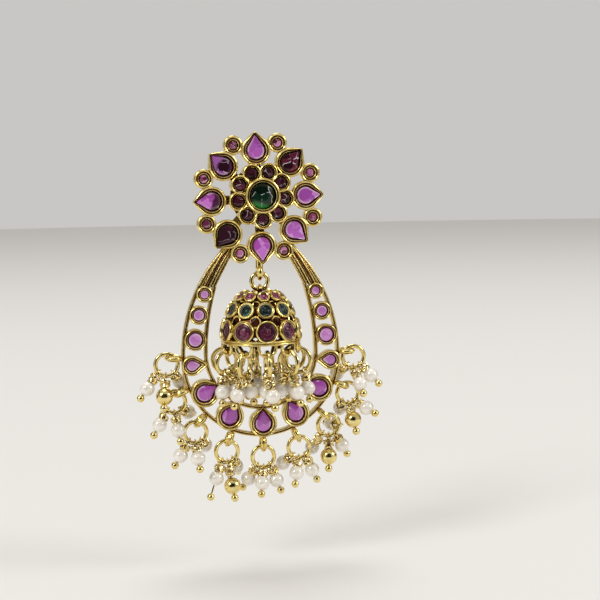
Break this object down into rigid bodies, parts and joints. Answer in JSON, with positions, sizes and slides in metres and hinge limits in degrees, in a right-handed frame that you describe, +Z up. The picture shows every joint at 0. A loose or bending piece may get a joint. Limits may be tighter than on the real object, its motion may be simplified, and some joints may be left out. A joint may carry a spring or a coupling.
{
  "type": "jhumka earring",
  "caption": "Gem-set rosette on an ear post, with a crescent hoop hung with pearl drops and an openwork bell with pearls that swings inside it.",
  "frame": {"origin": "the root of the ear post, behind the middle of the rosette, where the earring pins on to the ear lobe", "axes": "+Z up as it hangs, +Y back along the ear post, -Y towards the viewer, +X to the viewer's right"},
  "size_m": [0.0496, 0.022, 0.0741],
  "materials": {
    "antique_gold": "antique gold plated brass, dark in the recesses",
    "bright_gold": "polished gold plated brass",
    "pin_wire": "polished gold plated wire",
    "post_steel": "polished gold plated wire",
    "pink_glass": "foil-backed pink violet glass",
    "rose_glass": "foil-backed rose glass",
    "maroon_glass": "foil-backed maroon glass",
    "green_glass": "foil-backed dark green glass",
    "pearl": "pearlised imitation pearl"
  },
  "bodies": {
    "earring_top": {"centre_stone": "green_glass", "drop_gold_beads": "bright_gold", "drop_pearls_1": "pearl", "drop_pearls_2": "pearl", "drop_pearls_3": "pearl", "drop_pearls_4": "pearl", "drop_pearls_5": "pearl", "drop_pearls_6": "pearl", "drop_pearls_7": "pearl", "drop_pearls_8": "pearl", "drop_pearls_9": "pearl", "drop_pins": "pin_wire", "drop_ring_1": "antique_gold", "drop_ring_2": "antique_gold", "drop_ring_3": "antique_gold", "drop_ring_4": "antique_gold", "drop_ring_5": "antique_gold", "drop_ring_6": "antique_gold", "drop_ring_7": "antique_gold", "drop_ring_8": "antique_gold", "drop_ring_9": "antique_gold", "ear_post": "post_steel", "hoop_pear_stone_1": "pink_glass", "hoop_pear_stone_2": "pink_glass", "hoop_pear_stone_3": "pink_glass", "hoop_pear_stone_4": "pink_glass", "hoop_pear_stone_5": "pink_glass", "hoop_round_stones": "pink_glass", "hoop_side_pear_stones": "pink_glass", "petal_stones": "maroon_glass", "rosette_and_hoop": "antique_gold", "rosette_pear_stone_1": "pink_glass", "rosette_pear_stone_2": "pink_glass", "rosette_pear_stone_3": "pink_glass", "rosette_pear_stone_4": "pink_glass", "rosette_pear_stone_5": "pink_glass", "rosette_pear_stone_6": "pink_glass", "rosette_pear_stone_7": "pink_glass", "rosette_pear_stone_8": "pink_glass", "rosette_round_stones": "rose_glass"},
    "jump_ring": {"jump_ring": "antique_gold"},
    "bell": {"bell": "antique_gold", "bell_lower_stones": "maroon_glass", "bell_middle_stones": "green_glass", "bell_pearls": "pearl", "bell_pins": "pin_wire", "bell_ring_1": "antique_gold", "bell_ring_10": "antique_gold", "bell_ring_2": "antique_gold", "bell_ring_3": "antique_gold", "bell_ring_4": "antique_gold", "bell_ring_5": "antique_gold", "bell_ring_6": "antique_gold", "bell_ring_7": "antique_gold", "bell_ring_8": "antique_gold", "bell_ring_9": "antique_gold", "bell_upper_stones": "rose_glass"}
  },
  "joints": [
    {"name": "side_swing", "type": "hinge", "parent": "earring_top", "child": "jump_ring", "pos_m": [0, -0.0015, -0.01595], "axis": [0, 1, 0], "range_deg": [-2, 2]},
    {"name": "front_swing", "type": "hinge", "parent": "jump_ring", "child": "bell", "pos_m": [0, -0.0015, -0.01822], "axis": [1, 0, 0], "range_deg": [-5.5, 3]}
  ]
}
